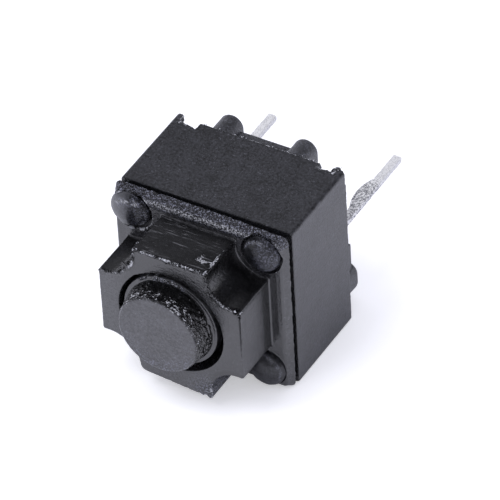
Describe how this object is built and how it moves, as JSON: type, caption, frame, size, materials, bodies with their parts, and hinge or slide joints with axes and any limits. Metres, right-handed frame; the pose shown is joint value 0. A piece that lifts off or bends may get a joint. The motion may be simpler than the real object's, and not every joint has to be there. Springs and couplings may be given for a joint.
{
  "type": "tactile push button switch",
  "caption": "Square through-hole tactile push button switch with a cross-shaped plinth, a round sprung plunger and flat pins.",
  "frame": {"origin": "middle of the footprint, in the plane where the standoff feet rest on the board", "axes": "+Z along the plunger, away from the board; the pins stand on the X axis; +Y is the side with the two notches"},
  "size_m": [0.006, 0.006, 0.0108],
  "materials": {
    "base_plastic": "moulded black nylon, fine spark-eroded grain",
    "cover_plastic": "moulded black nylon, satin faces and rough edges",
    "plunger_plastic": "moulded black plastic, satin face and glossy pitted flank",
    "silicone": "milky soft silicone",
    "spring_steel": "bright stainless spring sheet",
    "tinned_metal": "dull bright tin plate, striated along the pins"
  },
  "bodies": {
    "housing": {"base": "base_plastic", "cover": "cover_plastic", "snap_dome": "spring_steel", "terminal_left": "tinned_metal", "terminal_right": "tinned_metal"},
    "plunger": {"plunger": "plunger_plastic", "damper_pad": "silicone"}
  },
  "joints": [
    {"name": "plunger_travel", "type": "slide", "parent": "housing", "child": "plunger", "axis": [0, 0, -1], "range_m": [0, 0.0003], "stiffness_N_per_m": 2500, "springref_m": -0.0001, "deforming": ["snap_dome"]}
  ]
}
